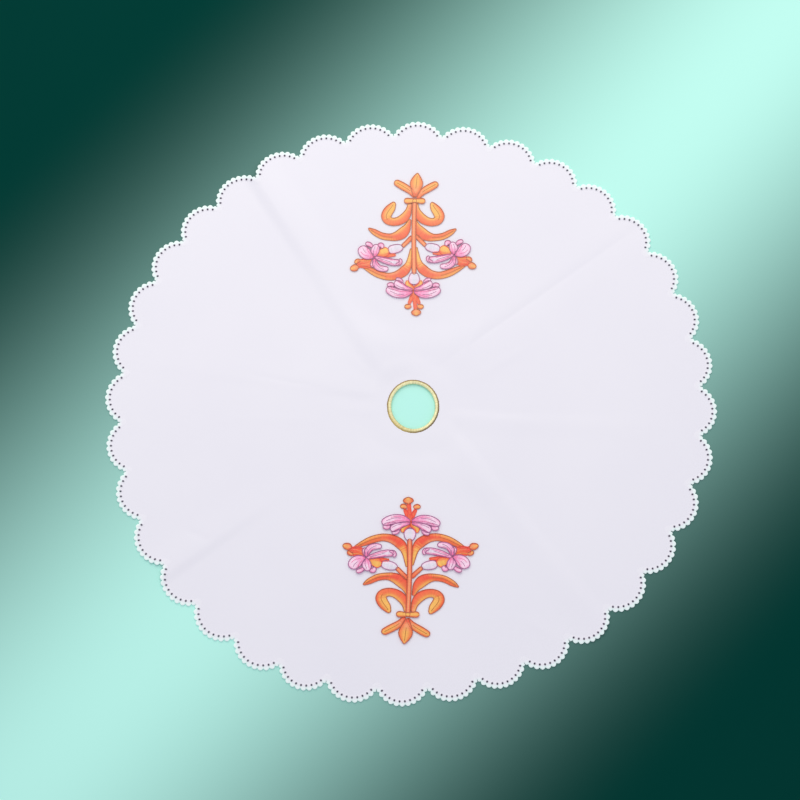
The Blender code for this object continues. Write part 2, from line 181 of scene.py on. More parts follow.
# Small creases that only the looks have, as lines from one place to another
SMALL_CREASES = (
    # from x, y mm, to x, y mm, height mm, width mm
    (-64, 11, -160, 30, -0.30, 7),
    (-70, -16, -170, -14, 0.22, 9),
    (52, 20, 118, 60, 0.30, 8),
    (40, 34, 74, 92, 0.25, 8),
    (46, -8, 122, -12, -0.28, 8),
    (12, -44, 30, -84, 0.22, 7),
    (-34, -34, -84, -92, 0.20, 9),
    (-60, 190, -76, 236, -0.25, 7),
    (96, -196, 132, -216, 0.25, 10),
    (-176, -128, -206, -116, -0.35, 8),
    (-20, 42, -26, 92, 0.22, 8),
    (-28, -9, -72, -4, 0.3, 12),
    (-30, 22, -56, 44, 0.3, 9),
)

# The two sprays
SPRAYS = (
    # node name, direction from the hole in degrees, distance of the collar from the hole in mm,
    # share of the drawn width, share of the drawn length
    ("upper_spray", 89.5, 198.2, 0.98, 1.01),
    ("lower_spray", 268.5, 190.9, 1.02, 0.96),
)
SPRAY_MIDDLE = 42 * MM
SPRAY_FLAT_ACROSS = 64 * MM
SPRAY_FLAT_ALONG = 74 * MM
SPRAY_FLAT_FADE = 0.4

# Colours as seen, red, green and blue from 0 to 255
COLOURS = {
    "red": (247, 78, 50),
    "orange": (251, 118, 66),
    "peach": (255, 168, 114),
    "gold": (255, 192, 94),
    "brown": (190, 92, 58),
    "olive": (200, 118, 40),
    "mauve": (168, 94, 146),
    "light pink": (255, 222, 242),
    "pink": (255, 176, 216),
    "magenta": (250, 108, 168),
    "grey": (232, 228, 240),
    "coral": (248, 84, 66),
    "old gold": (150, 122, 72),
    "mid gold": (206, 182, 108),
    "pale gold": (250, 244, 192),
}
# How far a spray's warm threads are faded, and towards which tone
FADED = {"upper_spray": (0.15, (0.95, 0.74, 0.44)), "lower_spray": (0.0, (1, 1, 1))}

# How a stitched shape is coloured from its root to its tip
SHADES = {
    # share of the length, then the colours at its left, middle and right
    "long leaf": (
        (0.0, "orange", "gold", "gold"),
        (0.2, "red", "gold", "gold"),
        (0.34, "red", "red", "orange"),
        (0.5, "orange", "red", "peach"),
        (0.7, "gold", "orange", "orange"),
    ),
    "leaf": (
        (0.2, "red", "orange", "gold"),
        (0.4, "red", "red", "gold"),
        (0.6, "gold", "red", "orange"),
        (1.0, "gold", "orange", "orange"),
    ),
    "hook": (
        (0.0, "orange", "peach", "gold"),
        (0.2, "red", "orange", "gold"),
        (0.42, "red", "orange", "gold"),
        (0.6, "orange", "orange", "gold"),
        (0.75, "red", "gold", "gold"),
        (1.0, "orange", "gold", "gold"),
    ),
    "foot": (
        (0.0, "red", "red", "red"),
        (0.3, "orange", "peach", "orange"),
        (0.6, "orange", "gold", "orange"),
    ),
    "stem": ((0.0, "red", "peach", "red"),),
    "stalk": ((0.0, "red", "orange", "red"), (1.0, "orange", "peach", "orange")),
    "collar": (
        (0.0, "orange", "gold", "orange"),
        (0.5, "gold", "gold", "orange"),
        (1.0, "orange", "gold", "orange"),
    ),
    "cup": ((0.0, "light pink", "grey", "grey"), (1.0, "light pink", "grey", "light pink")),
    "calyx": (
        (0.0, "coral", "gold", "gold"),
        (0.5, "orange", "gold", "gold"),
        (1.0, "coral", "orange", "orange"),
    ),
    "petal": (
        (0.0, "magenta", "magenta", "magenta"),
        (0.35, "pink", "pink", "pink"),
        (0.65, "light pink", "light pink", "pink"),
        (1.0, "pink", "light pink", "pink"),
    ),
    "pale petal": (
        (0.0, "magenta", "pink", "magenta"),
        (0.4, "pink", "light pink", "pink"),
        (0.8, "pink", "grey", "pink"),
        (1.0, "magenta", "pink", "pink"),
    ),
    "turn": ((0.0, "magenta", "pink", "pink"), (1.0, "pink", "light pink", "magenta")),
    "stamen": ((0.0, "coral", "orange", "coral"), (1.0, "coral", "coral", "orange")),
    "anther": ((0.0, "orange", "peach", "orange"), (1.0, "red", "gold", "orange")),
}

# The colour of the cord round a stitched shape, and of its vein
OUTLINES = {
    "brown": ("stem", "stalk", "collar", "foot", "hook", "leaf", "long leaf", "anther"),
    "mauve": ("cup", "petal", "pale petal", "turn"),
    "coral": ("calyx", "stamen"),
}
OUTLINE_OF = {shade: colour for colour, shades in OUTLINES.items() for shade in shades}
VEINS = {"brown": "olive", "mauve": "mauve"}

# The shapes of one spray in mm, across and along its stem, from the collar; along grows towards
# the flowers. A shape follows its route with the widths given there. Higher layers lie on top,
# and a vein is given by the shares of the length where it starts and ends.
SHAPES_ALONE = (
    # layer, shade, vein, route, widths
    (3, "stem", None, ((0, -2), (-0.6, 35), (0, 71)), (3.8, 3.8, 4)),
    (
        4, "collar", None,
        ((-10, 0.2), (-6.5, -0.1), (0, -0.4), (6.5, -0.1), (10, 0.2)), (4.6, 5.2, 3.6, 5.2, 4.6),
    ),
    (
        3, "foot", (0.35, 0.9),
        ((0.4, -4), (0.9, -11), (1.6, -17.5), (2.1, -23), (2.6, -27.4)), (3, 8.6, 12, 7.8, 1),
    ),
    (2, "cup", None, ((0, 69), (0, 74.2), (0, 81)), (6, 9.8, 11.4)),
    (1, "stamen", None, ((0.4, 87), (0.6, 92), (0.9, 98), (1.7, 106)), (9, 5, 3, 3.2)),
    (2, "anther", None, ((2, 104.4), (2.1, 106.8), (2.2, 109), (2.3, 110.8)), (6, 8.8, 7.8, 4)),
)
# Both halves are drawn alike. The first is moved across by aside, and so is the second, which is
# the mirror image and is moved along by lift.
SHAPES_IN_PAIRS = (
    # aside, lift, layer, shade, vein, route, widths
    (
        1.4, -1.2, 2, "foot", (0.3, 0.92),
        ((1.2, -2.4), (3, -5.4), (6.6, -9.4), (13.2, -13.6), (20.6, -17.8)), (2.6, 4.2, 6, 6.8, 5.6),
    ),
    (
        -1.6, 0, 1, "hook", (0.62, 0.96),
        (
            (2.8, 2), (3.8, 8), (5.6, 12.8), (8.8, 16.8), (13.6, 19.6), (19, 20.4), (23.6, 18.6),
            (25.2, 14.8), (23.6, 10.6), (20.4, 6.2), (17.4, 1.2),
        ),
        (3.6, 5, 7.4, 8.4, 7.8, 7.4, 8.2, 9.2, 9.2, 7.8, 2.6),
    ),
    (
        -2, 0, 0, "leaf", (0.5, 0.95),
        (
            (2.2, 17.6), (4.2, 23.6), (6.6, 28), (10.4, 32), (15.4, 34.4),
            (21.1, 35.2), (28.8, 34), (36.5, 30), (41.5, 26.8),
        ),
        (2, 5.4, 8.8, 10, 8.4, 6.4, 6, 5, 1.2),
    ),
    (-0.3, 1, 1, "stalk", None, ((1.6, 33.4), (6.6, 38.8), (11.4, 43.6)), (3.8, 3.6, 3.4)),
    (-0.3, 1.2, 2, "cup", None, ((10.4, 43.6), (14, 44.6), (18.5, 45.6), (24.4, 47)), (3, 7, 8.2, 7)),
    (0, 2.2, 3, "calyx", None, ((23.8, 46.4), (28, 47.6), (35.6, 50.4)), (6, 8.6, 4)),
    (0, 2.2, 2, "stamen", None, ((17.4, 50.4), (24, 50.8), (32, 52)), (1.8, 3.2, 3.2)),
    (
        -0.5, 1.5, 0, "long leaf", (0.62, 0.95),
        (
            (2.4, 44.6), (3.2, 51.4), (4, 56.6), (5.4, 61.4), (8.4, 65.7), (12.6, 69),
            (17.8, 71.2), (25, 71.8), (33.4, 69.5), (41, 65.8), (48.6, 62.2),
        ),
        (1.6, 3.4, 4.8, 6.8, 8.8, 8.4, 7.4, 6.6, 6.4, 5, 1.2),
    ),
    (
        0, 3, 4, "pale petal", None,
        ((37, 51.8), (30.4, 54.2), (24, 56), (18, 57), (13.4, 56)), (2.2, 4.8, 6, 6, 4.6),
    ),
    (0, 3, 5, "turn", None, ((17.4, 59), (13.8, 58), (12.8, 55.4), (14, 53.6)), (1.8, 3, 3, 1.6)),
    (
        0, 3, 3, "petal", None,
        ((37.2, 53), (36.8, 58), (33.6, 61.8), (28.6, 63.2), (24.4, 62.8)), (2.4, 5.2, 5.8, 5.2, 3.6),
    ),
    (0, 3, 2, "pale petal", (0.3, 0.7), ((37.6, 53), (39, 58), (38.8, 61.6)), (2.4, 4.4, 3.4)),
    (0, 3, 5, "petal", None, ((37.2, 51.6), (37, 46), (35.4, 39.8)), (2.4, 7.8, 5)),
    (0, 3, 4, "petal", None, ((38, 51.8), (43.8, 49.8), (47.6, 46), (48, 41)), (2.8, 9.2, 10.8, 7.6)),
    (0, 3, 6, "turn", None, ((39.4, 42.4), (42.4, 39.8), (46, 38.8)), (2.4, 4, 3)),
    (0, 3, 4, "turn", None, ((34.4, 40.6), (31, 40.4), (30, 43.4)), (3.4, 4.4, 2.6)),
    (0, 3, 1, "stamen", None, ((38.6, 55.6), (43, 57.6), (48.4, 58), (53.4, 56.4)), (4, 8.4, 8.6, 5.4)),
    (-0.9, 3, 1, "stamen", None, ((46, 59), (50.6, 60.4), (54, 61.8)), (4, 3.4, 2.4)),
    (-0.9, 3, 2, "anther", None, ((50, 55), (53, 55.8), (54.4, 58.2)), (2.8, 3.6, 2.8)),
    (-0.9, 3, 2, "anther", None, ((51.6, 61.2), (55.2, 62.4), (59.2, 63.6)), (4.2, 6.4, 3)),
    (0, 0, 3, "calyx", None, ((6.2, 77), (6, 80.6), (3.8, 83.6), (0, 85.2)), (1.8, 4.4, 5.4, 5)),
    (
        -0.7, 0, 4, "petal", None,
        ((0.8, 87.4), (8, 89.6), (15.6, 89.2), (21.4, 87), (25, 84.6)), (2.8, 7.6, 8.6, 7.6, 5),
    ),
    (-0.7, 0, 5, "petal", None, ((0.8, 86.4), (8, 84.2), (13.6, 81.2), (17.4, 78.6)), (2.6, 5, 7.2, 6)),
    (-0.7, 0, 6, "turn", None, ((18.6, 83.2), (20.8, 81.2), (24.4, 82.2)), (2.4, 3.8, 3)),
    (-0.7, 0, 6, "turn", None, ((10, 79.4), (12.6, 76.8), (16.4, 76)), (2.2, 3.4, 2.6)),
    (0.2, 0, 0, "stamen", None, ((0.6, 91), (3, 95.2), (5, 99.4)), (5, 3.4, 2.4)),
    (0.2, 0, 1, "anther", None, ((3, 100.6), (5.8, 102), (8.8, 101.4)), (2.8, 4.6, 3)),
)
# Single threads over the petals, drawn in pairs like the shapes
STREAKS = (
    # aside, lift, layer, colour, path
    (0, 3, 3, "mauve", ((36.4, 55), (35.6, 58.8), (32, 62.4), (28.4, 63.8))),
    (0, 3, 3, "magenta", ((35.6, 56), (32.6, 60.2), (29, 61.8))),
    (0, 3, 4, "mauve", ((34.6, 52.8), (28, 54.8), (21, 57.2))),
    (0, 3, 4, "magenta", ((32.7, 54.4), (25.7, 57), (19.4, 58.6))),
    (0, 3, 4, "magenta", ((33, 52), (26, 53.4), (20, 54.8))),
    (0, 3, 5, "mauve", ((38.4, 49.8), (38.3, 45.8), (36.8, 41.6))),
    (0, 3, 5, "magenta", ((36.2, 50), (35.4, 45.6), (34.6, 42))),
    (0, 3, 4, "mauve", ((44.8, 48.2), (47.2, 46), (48.8, 43))),
    (0, 3, 4, "magenta", ((50.4, 47), (47.6, 49.8), (42.6, 51.2))),
    (0, 3, 4, "magenta", ((41, 49.4), (43.4, 46.4), (44.8, 42.8))),
    (0, 3, 1, "peach", ((40, 56.6), (45, 59), (50, 59.6))),
    (0, 3, 1, "gold", ((41, 54.6), (47, 55.8), (52.4, 55))),
    (0, 3, 1, "orange", ((40, 55.8), (46, 57.4), (52.8, 57.4))),
    (0, 3, 1, "red", ((43, 60.4), (48, 61), (52, 60.6))),
    (-0.7, 0, 4, "mauve", ((22, 87.4), (15, 90.4), (8.4, 90.6))),
    (-0.7, 0, 4, "magenta", ((21, 84.6), (14, 87.6), (6, 88))),
    (-0.7, 0, 4, "magenta", ((18, 91), (11, 92.2), (5, 90.4))),
    (-0.7, 0, 4, "mauve", ((23.6, 84.6), (19, 86.2), (13, 86.4))),
    (-0.7, 0, 5, "mauve", ((16.4, 81.4), (12.6, 83.6), (8, 85))),
    (-0.7, 0, 5, "magenta", ((14.4, 78.4), (10, 81), (5, 84.2))),
)
LAYER_RISE = 0.2 * MM
STITCH_BED = 0.15 * MM  # the lowest layer's edge, above the cloth
STITCH_CROWN = 0.42 * MM
STITCH_RIB = 0.07 * MM
STITCH_PITCH = 0.6 * MM
STITCH_COLUMNS = 7
STITCH_UNEVEN = 0.05  # how much a stitch's tone and place differ from the next one's
CORD_RADIUS = 0.36 * MM
CORD_STEP = 0.7 * MM
CORD_SIDES = 6
CORD_RISE = 0.3 * MM
VEIN_RADIUS = 0.34 * MM
STREAK_RADIUS = 0.24 * MM
CORD_TAPER = 0.35  # its thickness at both ends, and at every third stitch
CORD_WAIST = 0.86
CORD_TONES = (0.85, 1.1)
VEIN_RISE = 0.92 * STITCH_CROWN
STITCH_FOOT = -0.1 * MM  # the sides of a stitched shape go down into the cloth
PAINTED_VALLEY_SHADE = 0.94  # painted shade: the darker tone of the colour between two stitches
CROWN_HALF = 3  # half width in mm from which a shape's crown is whole
THINNEST = 0.3 * MM
ROUTE_STEPS = 12
STREAK_STEPS = 6
FADE_BLUE = 1.4  # how much less the pinks fade, which have blue in them

# The floor's tones: a pale band along one diagonal, dark at both reaches from it in metres
FLOOR_SLANT = (1.1, -1.06, 0.0)
FLOOR_REACH = (-0.69, 0.63)
FLOOR_CURVE = 1.6
FLOOR_PALE = (0.5, 0.92, 0.82, 1)
FLOOR_DARK = (0.001, 0.04, 0.032, 1)
FLOOR_HALF = 4.0
FLOOR_DROP = 0.2 * MM
MIX_FIRST, MIX_SECOND, MIX_RESULT = 6, 7, 2  # a mix node's sockets for colours

# One soft light from the upper edge of the photo, and an even sky
KEY_AZIMUTH = 98
KEY_ELEVATION = 50
KEY_DISTANCE = 1.5
KEY_SIZE = 1.5
KEY_POWER = 13.4
KEY_COLOUR = (1.0, 0.94, 0.8)
SKY_COLOUR = (0.9, 0.915, 1.0, 1)
SKY_STRENGTH = 0.745

# The camera, fitted to the rim in the photo
CAMERA_TARGET = (-9.9 * MM, 3.6 * MM, 0.0)
CAMERA_DISTANCE = 2.1
CAMERA_ELEVATION = 74.35
CAMERA_LENS = 104.04
SENSOR = 36.0


def blend(share):
    """Smooth step from 0 to 1."""
    share = min(max(share, 0.0), 1.0)
    return share * share * (3 - 2 * share)


def between(stations, at):
    """The value at a place between (place, value) stations, eased from one to the next."""
    if at <= stations[0][0]:
        return stations[0][1]
    for (first, low), (second, high) in zip(stations, stations[1:]):
        if at <= second:
            return low + (high - low) * blend((at - first) / (second - first))
    return stations[-1][1]


def linear(colour):
    """A colour name as linear red, green and blue from 0 to 1."""
    shares = [value / 255 for value in COLOURS[colour]]
    return np.array([s / 12.92 if s <= 0.04045 else ((s + 0.055) / 1.055) ** 2.4 for s in shares])


LINEAR = {name: linear(name) for name in COLOURS}
STATIONS = {
    shade: [(row[0], np.array([LINEAR[name] for name in row[1:]])) for row in rows]
    for shade, rows in SHADES.items()
}


def toward(turn):
    """A step of one in a direction given in radians from +X."""
    return Vector((cos(turn), sin(turn)))


# The cloth's shape

def flat_under_sprays(x, y):
    """Nought under a spray, rising to one a little way outside it."""
    share = 1.0
    for _, direction, distance, _, _ in SPRAYS:
        turn = radians(direction)
        out = distance * MM - SPRAY_MIDDLE
        dx = x - HOLE_X - out * cos(turn)
        dy = y - HOLE_Y - out * sin(turn)
        along = dx * cos(turn) + dy * sin(turn)
        across = dy * cos(turn) - dx * sin(turn)
        away = hypot(across / SPRAY_FLAT_ACROSS, along / SPRAY_FLAT_ALONG)
        share *= blend((away - 1) / SPRAY_FLAT_FADE)
    return share


def fold_height(fold, dx, dy):
    """What one fold adds at a place, given from the middle of the hole."""
    profile, direction, passes, near, middle, rim, left, right, rim_share = fold
    turn = radians(direction)
    out = dx * cos(turn) + dy * sin(turn)
    if out <= 0:
        return 0.0
    aside = dy * cos(turn) - dx * sin(turn) - passes * MM
    narrowing = 1 + (rim_share - 1) * blend(out / FOLD_RIM)
    share = min(abs(aside) / ((left if aside > 0 else right) * narrowing * MM), 1.0)
    shape = (1 - share) ** 2 if profile == "crease" else 1 - blend(share)
    stations = ((FOLD_NEAR, near), (FOLD_MIDDLE, middle), (FOLD_RIM, rim))
    return between(stations, out) * MM * shape


def small_creases(x, y):
    """What the small creases add at a place."""
    total = 0.0
    for x0, y0, x1, y1, high, width in SMALL_CREASES:
        start = Vector((x0, y0)) * MM
        line = Vector((x1, y1)) * MM - start
        place = Vector((x, y)) - start
        share = place.dot(line) / line.length_squared
        if 0 < share < 1:
            aside = abs(place.cross(line)) / line.length / (width * MM)
            total += high * MM * sin(pi * share) * max(1 - aside, 0.0) ** 2
    return total


def height(x, y):
    """How far the underside of the cloth's solid stands off the surface."""
    dx, dy = x - HOLE_X, y - HOLE_Y
    out = hypot(dx, dy)
    start = blend((out - SWELL_START) / (FOLD_NEAR - SWELL_START))
    share = min(max((out - SWELL_START) / (SWELL_END - SWELL_START), 0.0), 1.0)
    swell = SWELL_HEIGHT * sin(pi * share) ** 2
    folds = swell + start * sum(fold_height(fold, dx, dy) for fold in FOLDS)
    folds += small_creases(x, y)
    seat = SEAT_AT_RING * (1 - blend((out - SWELL_START) / (SEAT_END - SWELL_START)))
    return max(folds, 0.0) * flat_under_sprays(x, y) + seat


# The scalloped rim

def rim_place(degrees):
    """A notch of the rim, from the direction in which it would lie on a true circle."""
    outs = [(at, out) for at, out, _ in RIM_DRIFT]
    turns = [(at, turned) for at, _, turned in RIM_DRIFT]
    radius = VEIL_WIDTH / 2 - SCALLOP_DEPTH + between(outs, degrees % 360) * MM
    turn = radians(degrees + between(turns, degrees % 360))
    return Vector((radius * cos(turn), radius * sin(turn)))


def scallop_arcs():
    """The centre and radius of each scallop's arc, from its two notches and its depth."""
    arcs = []
    step = 360 / SCALLOPS
    for k in range(SCALLOPS):
        start = rim_place(FIRST_NOTCH + k * step)
        end = rim_place(FIRST_NOTCH + (k + 1) * step)
        chord = (end - start).length
        middle = (start + end) / 2
        radius = (chord * chord / 4 + SCALLOP_DEPTH**2) / (2 * SCALLOP_DEPTH)
        arcs.append((middle - middle.normalized() * (radius - SCALLOP_DEPTH), radius))
    return arcs


def crossing(first, second, inset):
    """Where two neighbouring arcs, drawn in by inset, meet on their outer side."""
    (a, ra), (b, rb) = first, second
    ra, rb = ra - inset, rb - inset
    apart = (b - a).length
    along = (ra * ra - rb * rb + apart * apart) / (2 * apart)
    step = (b - a) / apart
    side = Vector((step.y, -step.x))
    return a + step * along + side * sqrt(ra * ra - along * along)


def scallop_spans():
    """Each scallop's centre, radius, first angle and turn, between its loops' roots."""
    arcs = scallop_arcs()
    spans = []
    for k, (centre, radius) in enumerate(arcs):
        start = crossing(arcs[k - 1], arcs[k], PICOT_OUT) - centre
        end = crossing(arcs[k], arcs[(k + 1) % SCALLOPS], PICOT_OUT) - centre
        first = atan2(start.y, start.x)
        turn = (atan2(end.y, end.x) - first) % tau
        spans.append((centre, radius, first, turn))
    return spans


SPANS = scallop_spans()


def notch_places():
    """Where the loops' roots of two scallops meet."""
    return [centre + (radius - PICOT_OUT) * toward(first) for centre, radius, first, _ in SPANS]


def picot_line():
    """The outer edge of the edging: round loops along every scallop, joined across each notch."""
    points = []
    for centre, radius, first, turn in SPANS:
        for i in range(PICOTS * PICOT_STEPS):
            share = i / (PICOTS * PICOT_STEPS)
            from_notch = min(share, 1 - share) * PICOTS
            bulge = abs(sin(pi * share * PICOTS)) ** PICOT_POWER
            bulge *= blend(from_notch / PICOT_FADE)
            reach = radius - PICOT_OUT + PICOT_REACH * bulge
            points.append(centre + reach * toward(first + turn * share))
    return clear_of(points, tree_of(notch_places()), NOTCH_FILL)


def inset_line(inset, steps):
    """The scalloped rim drawn in by inset, which turns about each notch in a short arc."""
    points = []
    for k, (centre, radius, first, turn) in enumerate(SPANS):
        for i in range(steps + 1):
            angle = first + turn * i / steps
            points.append(centre + (radius - inset) * toward(angle))
        notch = centre + (radius - PICOT_OUT) * toward(angle)
        bend = (SPANS[(k + 1) % SCALLOPS][2] - angle + pi) % tau - pi
        for i in range(1, NOTCH_STEPS):
            back = angle + pi + bend * i / NOTCH_STEPS
            points.append(notch + (inset - PICOT_OUT) * toward(back))
    return points


def pinhole_places():
    """The middle of each pinhole and the direction out through the edge there."""
    places = []
    for centre, radius, first, turn in SPANS:
        for i in range(1, PICOTS):
            out = toward(first + turn * i / PICOTS)
            places.append((centre + (radius - PINHOLE_INSET) * out, out))
    return places


def oval(radius, steps):
    """Points round the hole, radius being half its width."""
    turns = [tau * i / steps for i in range(steps)]
    return [
        Vector((HOLE_X + radius * cos(t), HOLE_Y + radius * HOLE_STRETCH * sin(t)))
        for t in turns
    ]


# Making meshes

def ring_edges(start, count):
    """The edges of a closed line of points, by their numbers."""
    return [(start + i, start + (i + 1) % count) for i in range(count)]


def hex_grid(pitch, half_width):
    """An even triangular grid of points over a square."""
    row_step = pitch * sin(pi / 3)
    rows = int(half_width / row_step)
    columns = int(half_width / pitch)
    return [
        Vector(((column + (row % 2) / 2) * pitch, row * row_step))
        for row in range(-rows, rows + 1)
        for column in range(-columns, columns + 1)
    ]


def tree_of(points):
    """A search tree of flat points."""
    tree = KDTree(len(points))
    for i, p in enumerate(points):
        tree.insert((p.x, p.y, 0), i)
    tree.balance()
    return tree


def clear_of(points, tree, distance):
    """The points that lie at least a distance from all in the tree."""
    return [p for p in points if tree.find((p.x, p.y, 0))[2] > distance]


def inside_mask(points, line):
    """For each point, whether it is inside a closed line."""
    x = np.array([p[0] for p in points])
    y = np.array([p[1] for p in points])
    within = np.zeros(len(points), bool)
    for a, b in zip(line, line[1:] + line[:1]):
        if a.y != b.y:
            between_ends = (a.y > y) != (b.y > y)
            within ^= between_ends & (x < a.x + (b.x - a.x) * (y - a.y) / (b.y - a.y))
    return within


def flat_sheet(loops, kept, pitch, gap):
    """Triangles inside the first loop and outside the second, whose edges follow every loop.

    Its points are the loops' own, the kept ones, and a grid that stays a gap away from those.
    """
    border = tree_of([p for loop in loops for p in loop])
    grid = clear_of(hex_grid(pitch, VEIL_WIDTH / 2 + GRID_MARGIN), border, pitch / 2)
    loose = kept + clear_of(grid, tree_of(kept), gap)
    within = inside_mask(loose, loops[0]) & ~inside_mask(loose, loops[1])
    points = [p for loop in loops for p in loop]
    points += compress(loose, within)
    edges = []
    for loop in loops:
        edges += ring_edges(len(edges), len(loop))
    verts, _, faces, *_ = delaunay_2d_cdt(points, edges, [], 1, 1e-7)
    middles = [sum((verts[i] for i in face), Vector((0, 0))) / len(face) for face in faces]
    outside = ~inside_mask(middles, loops[1])
    return verts, list(compress(faces, outside)), list(compress(middles, outside))


def thick_sheet(verts, faces, tops, thickness, feet=None):
    """A closed mesh from a flat sheet, and which of its points were used.

    Its top is at the given heights, and its underside over the feet, or else over verts.
    """
    count = len(verts)
    points = [(v.x, v.y, z) for v, z in zip(verts, tops)]
    points += [(v.x, v.y, z - thickness) for v, z in zip(feet or verts, tops)]
    whole = [tuple(face) for face in faces]
    below = [tuple(i + count for i in reversed(face)) for face in whole]
    sides = dict.fromkeys(side for face in whole for side in zip(face, face[1:] + face[:1]))
    walls = [(b, a, a + count, b + count) for a, b in sides if (b, a) not in sides]
    faces = whole + below + walls
    used = sorted({i for face in faces for i in face})
    place = {old: new for new, old in enumerate(used)}
    return [points[i] for i in used], [tuple(place[i] for i in face) for face in faces], used


def new_object(name, data):
    """An object in the scene."""
    thing = bpy.data.objects.new(name, data)
    bpy.context.scene.collection.objects.link(thing)
    return thing


def make_piece(name, node, slot, points, faces, material, colours=None, grain=None, sharp=50):
    """A piece of the veil that replaces its solid, with a colour and a grain at each point."""
    mesh = bpy.data.meshes.new(name)
    mesh.from_pydata(points, [], faces)
    mesh.materials.append(material)
    if colours is not None:
        layer = mesh.color_attributes.new("thread", "FLOAT_COLOR", "POINT")
        flat = np.ones((len(points), 4), np.float32)
        flat[:, :3] = np.array(colours)
        layer.data.foreach_set("color", flat.ravel())
    if grain is not None:
        layer = mesh.uv_layers.new(name="grain")
        corner = np.zeros(len(mesh.loops), np.int32)
        mesh.loops.foreach_get("vertex_index", corner)
        layer.data.foreach_set("uv", np.array(grain, np.float32)[corner].ravel())
    mesh.shade_smooth()
    mesh.set_sharp_from_angle(angle=radians(sharp))
    piece = new_object(name, mesh)
    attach(piece, "root")
    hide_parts(node)
    return piece


# Materials

def new_material(name, roughness, metallic=0.0, sheen=0.0):
    """A Principled material, with its node tree and its shader."""
    material = bpy.data.materials.new(name)
    material.use_nodes = True
    tree = material.node_tree
    shader = tree.nodes["Principled BSDF"]
    shader.inputs["Roughness"].default_value = roughness
    shader.inputs["Metallic"].default_value = metallic
    shader.inputs["Sheen Weight"].default_value = sheen
    return material, tree, shader


def add_node(tree, kind, values=None, **settings):
    """A new node of a material, with values for its sockets and its own settings."""
    node = tree.nodes.new("ShaderNode" + kind)
    for name, value in settings.items():
        setattr(node, name, value)
    for name, value in (values or {}).items():
        node.inputs[name].default_value = value
    return node


def join_nodes(tree, *pairs):
    """Links each output to its input."""
    for output, target in pairs:
        tree.links.new(output, target)


def cloth_material():
    """White cloth: a fine plain weave, uneven threads and a faint change of tone."""
    material, tree, shader = new_material("white cloth", 0.88, sheen=0.15)
    place = add_node(tree, "TexCoord").outputs["Object"]
    tone = add_node(tree, "TexNoise", {"Scale": 9.0, "Detail": 3.0})
    ramp = add_node(tree, "ValToRGB")
    for element, place_on_ramp, shade in zip(ramp.color_ramp.elements, (0.3, 0.7), CLOTH_TONES):
        element.position = place_on_ramp
        element.color = shade
    join_nodes(tree, (place, tone.inputs["Vector"]), (tone.outputs["Fac"], ramp.inputs["Fac"]))
    join_nodes(tree, (ramp.outputs["Color"], shader.inputs["Base Color"]))
    heights = []
    for direction in ("X", "Y"):
        values = {"Scale": 320.0, "Distortion": 1.2, "Detail": 1.0, "Detail Scale": 0.3}
        wave = add_node(tree, "TexWave", values, wave_type="BANDS", bands_direction=direction)
        join_nodes(tree, (place, wave.inputs["Vector"]))
        heights.append(wave.outputs["Fac"])
    weave = add_node(tree, "Math", operation="MAXIMUM")
    join_nodes(tree, (heights[0], weave.inputs[0]), (heights[1], weave.inputs[1]))
    slub = add_node(tree, "TexNoise", {"Scale": 700.0, "Detail": 2.0})
    join_nodes(tree, (place, slub.inputs["Vector"]))
    both = add_node(tree, "Math", {1: 0.5}, operation="MULTIPLY_ADD")
    join_nodes(tree, (slub.outputs["Fac"], both.inputs[0]), (weave.outputs[0], both.inputs[2]))
    bump = add_node(tree, "Bump", {"Strength": 0.25, "Distance": 0.1 * MM})
    join_nodes(tree, (both.outputs[0], bump.inputs["Height"]))
    join_nodes(tree, (bump.outputs["Normal"], shader.inputs["Normal"]))
    return material


def thread_material(name, roughness, metallic=0.0, sheen=0.0):
    """Thread that takes its colour from the mesh, with filaments that run across the piece."""
    material, tree, shader = new_material(name, roughness, metallic, sheen)
    colour = add_node(tree, "VertexColor", layer_name="thread")
    grain = add_node(tree, "UVMap", uv_map="grain")
    fibres = add_node(tree, "TexNoise", {"Scale": 1.0, "Detail": 2.0})
    stretch = add_node(tree, "Mapping", {"Scale": (0.6, 6.0, 1.0)})
    join_nodes(
        tree,
        (grain.outputs["UV"], stretch.inputs["Vector"]),
        (stretch.outputs["Vector"], fibres.inputs["Vector"]),
    )
    tone = add_node(tree, "MapRange", {"To Min": 0.86, "To Max": 1.12})
    mix = add_node(tree, "VectorMath", operation="MULTIPLY")
    join_nodes(
        tree,
        (fibres.outputs["Fac"], tone.inputs["Value"]),
        (colour.outputs["Color"], mix.inputs[0]),
        (tone.outputs["Result"], mix.inputs[1]),
        (mix.outputs["Vector"], shader.inputs["Base Color"]),
    )
    bump = add_node(tree, "Bump", {"Strength": 0.3, "Distance": 0.05 * MM})
    join_nodes(
        tree,
        (fibres.outputs["Fac"], bump.inputs["Height"]),
        (bump.outputs["Normal"], shader.inputs["Normal"]),
    )
    return material


# The pieces

def fold_points():
    """Points along every crease's line and close beside it."""
    points = []
    for _, direction, passes, _, _, rim, _, _, _ in FOLDS:
        line = toward(radians(direction))
        side = Vector((-line.y, line.x))
        reach = FOLD_RIM if rim else FOLD_MIDDLE
        start = Vector((HOLE_X, HOLE_Y)) + side * passes * MM
        for i in range(int((reach - SWELL_START) / CLOTH_PITCH)):
            for aside in FOLD_ASIDES:
                points.append(start + line * (SWELL_START + i * CLOTH_PITCH) + side * aside * MM)
    return points


